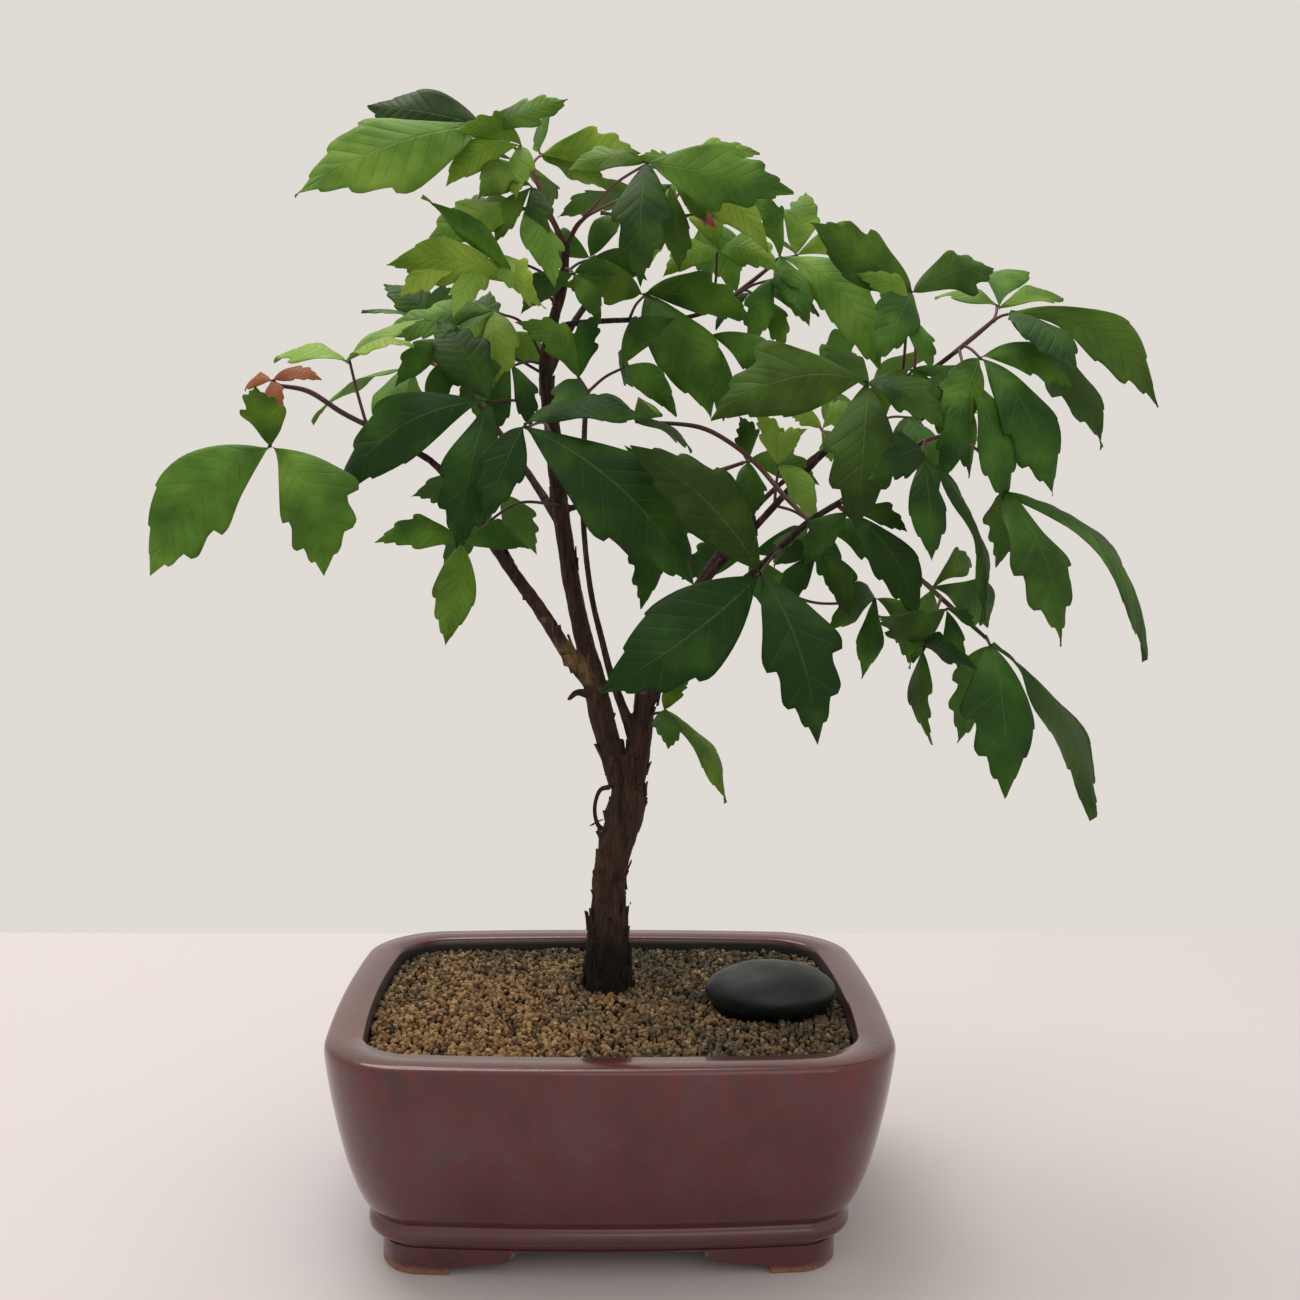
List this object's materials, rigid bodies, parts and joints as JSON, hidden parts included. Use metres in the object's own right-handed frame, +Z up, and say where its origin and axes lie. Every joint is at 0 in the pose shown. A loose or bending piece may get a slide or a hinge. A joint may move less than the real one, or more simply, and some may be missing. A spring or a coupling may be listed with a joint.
{
  "type": "paperbark maple bonsai",
  "caption": "Small maple tree with flaking bark and three-lobed compound leaves, in a rectangular glazed pot with gritty soil and a black pebble.",
  "frame": {"origin": "middle of the base of the whole object's box, on the surface that the pot stands on", "axes": "+Z up; +X to the viewer's right along the pot's long side; -Y towards the viewer, out of the pot's front"},
  "size_m": [0.3616, 0.2234, 0.428],
  "materials": {
    "glaze": "glossy oxblood glaze, mottled",
    "soil": "loose tan and brown grit",
    "pebble": "smooth, half polished",
    "bark": "dark flaking bark",
    "leaf": "soft leaf with a low sheen",
    "young_leaf": "young orange leaf",
    "screen": "matt black plastic mesh"
  },
  "bodies": {
    "root": {"pot": "glaze", "drain_screen_left": "screen", "drain_screen_right": "screen", "soil": "soil", "pebble": "pebble", "wood": "bark", "spray_far_left": "leaf", "leaf_left_low": "leaf", "leaf_front_left": "leaf", "leaf_front_centre": "leaf", "leaf_front_low": "leaf", "leaf_trunk": "leaf", "leaf_inner_low": "leaf", "spray_thin_stem": "leaf", "leaf_crown_centre": "leaf", "spray_crown_twig": "leaf", "spray_top_right": "leaf", "spray_top_left": "leaf", "leaf_left_crown_high": "leaf", "leaf_left_crown_mid": "leaf", "leaf_left_crown_low": "leaf", "leaf_pale_inner": "leaf", "leaf_crown_inner": "leaf", "leaf_right_high": "leaf", "spray_far_right": "leaf", "leaf_right_inner": "leaf", "leaf_right_front": "leaf", "spray_lower_right_tip": "leaf", "leaf_right_dark": "leaf", "spray_low_right": "leaf", "leaf_low_inner": "leaf", "leaf_inner_right": "leaf", "spray_long_twig": "leaf", "spray_inner_twig": "leaf", "leaf_small_bright": "leaf", "spray_back_right": "leaf", "leaf_back_right_low": "leaf", "spray_back_left": "leaf", "leaf_back_left_low": "leaf", "spray_back_crown": "leaf", "young_leaf_left": "young_leaf"}
  },
  "joints": []
}
